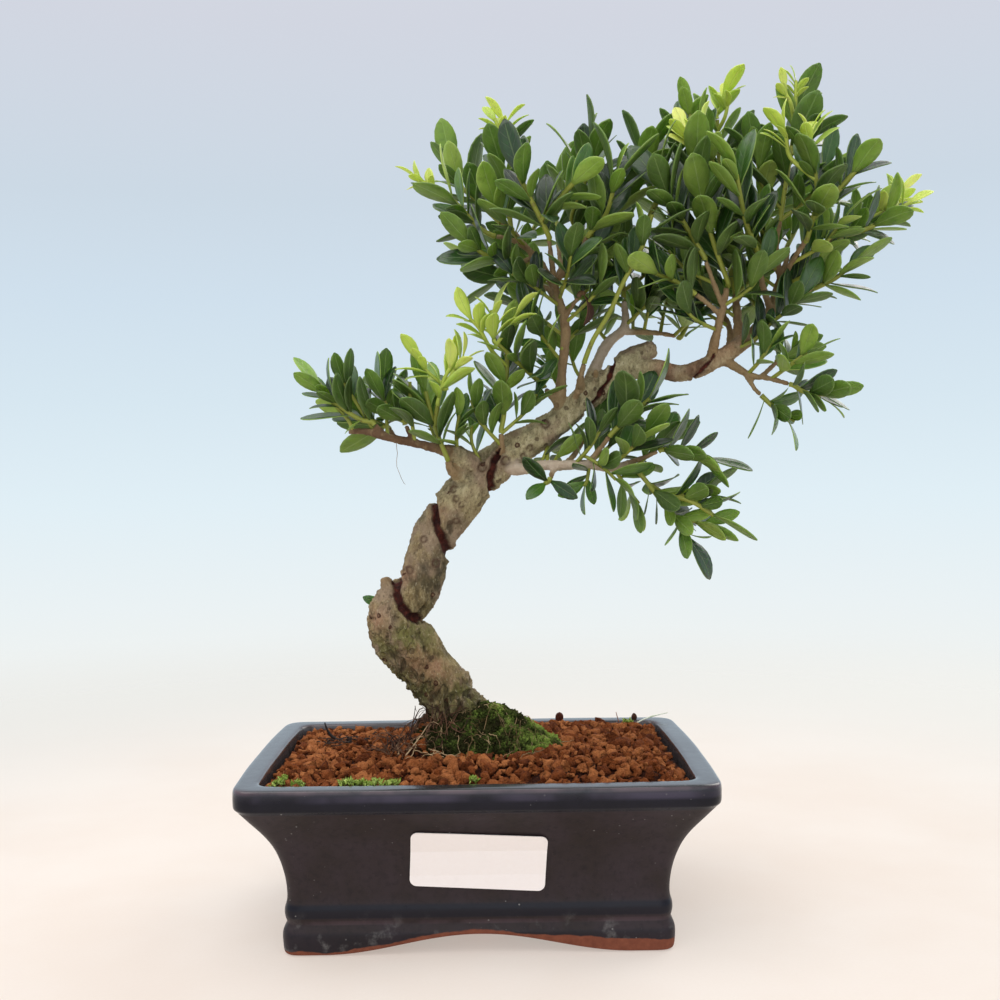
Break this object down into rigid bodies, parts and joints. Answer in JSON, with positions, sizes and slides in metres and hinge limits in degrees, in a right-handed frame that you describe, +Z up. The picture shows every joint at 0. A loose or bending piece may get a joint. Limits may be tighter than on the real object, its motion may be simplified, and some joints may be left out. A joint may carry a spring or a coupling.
{
  "type": "potted bonsai",
  "caption": "Japanese holly bonsai with a bent, wire-marked trunk and small glossy leaves in a dark glazed rectangular bowl with corner feet.",
  "frame": {"origin": "on the ground under the middle of the whole plant's bounding box", "axes": "+Z up, -Y the front of the bowl that carries the blank label, +X the side the crown leans to"},
  "size_m": [0.2328, 0.11, 0.2869],
  "materials": {
    "glaze": "dark navy-black stoneware glaze, glossy on the lip and half matt on the wall, bare red-brown clay at the feet",
    "label": "blank white paper label",
    "screen": "black plastic mesh",
    "soil": "dry red-brown clay granules",
    "moss": "short green moss",
    "bark": "grey-beige bark with red-brown wire scars and green algae",
    "leaf": "glossy dark green leaves, paler and matt below",
    "young_leaf": "soft lime-green young leaves",
    "dead_leaf": "dry brown leaf"
  },
  "bodies": {
    "root": {"pot": "glaze", "label": "label", "drain_screen_left": "screen", "drain_screen_right": "screen", "soil": "soil", "moss": "moss", "trunk": "bark", "crownLeftTop": "leaf", "crownLeftLow": "leaf", "crownLeftBack": "leaf", "crownMiddle": "leaf", "crownMiddleBack": "leaf", "crownMiddleFront": "leaf", "crownBackLeft": "leaf", "crownFrontLeft": "leaf", "crownFront": "leaf", "crownFrontTurned": "leaf", "crownCentre": "leaf", "crownFarBack": "leaf", "crownTop": "leaf", "crownUp": "leaf", "crownRight": "leaf", "crownRightLow": "leaf", "crownBack": "leaf", "crownNear": "leaf", "crownInner": "leaf", "skirtLeft": "leaf", "skirtFarLeft": "leaf", "skirtMiddle": "leaf", "skirtRight": "leaf", "skirtBack": "leaf", "centreTall": "leaf", "centreBack": "leaf", "centreGreen": "leaf", "leftThick": "leaf", "leftMiddle": "leaf", "leftUpper": "leaf", "leftOuter": "leaf", "leftInner": "leaf", "leftFar": "leaf", "rightLower": "leaf", "rightFork": "leaf", "rightRaised": "leaf", "lowerRight": "leaf", "lowerTurned": "leaf", "lowerDark": "leaf", "lowerSmall": "leaf", "lowerFar": "leaf", "burrLeaf": "leaf", "youngLeftTop": "young_leaf", "youngLeft": "young_leaf", "youngFront": "young_leaf", "youngTop": "young_leaf", "youngUp": "young_leaf", "youngNear": "young_leaf", "youngRight": "young_leaf", "youngRightLow": "young_leaf", "youngCluster": "young_leaf", "youngSide": "young_leaf", "dead_leaf": "dead_leaf"}
  },
  "joints": []
}
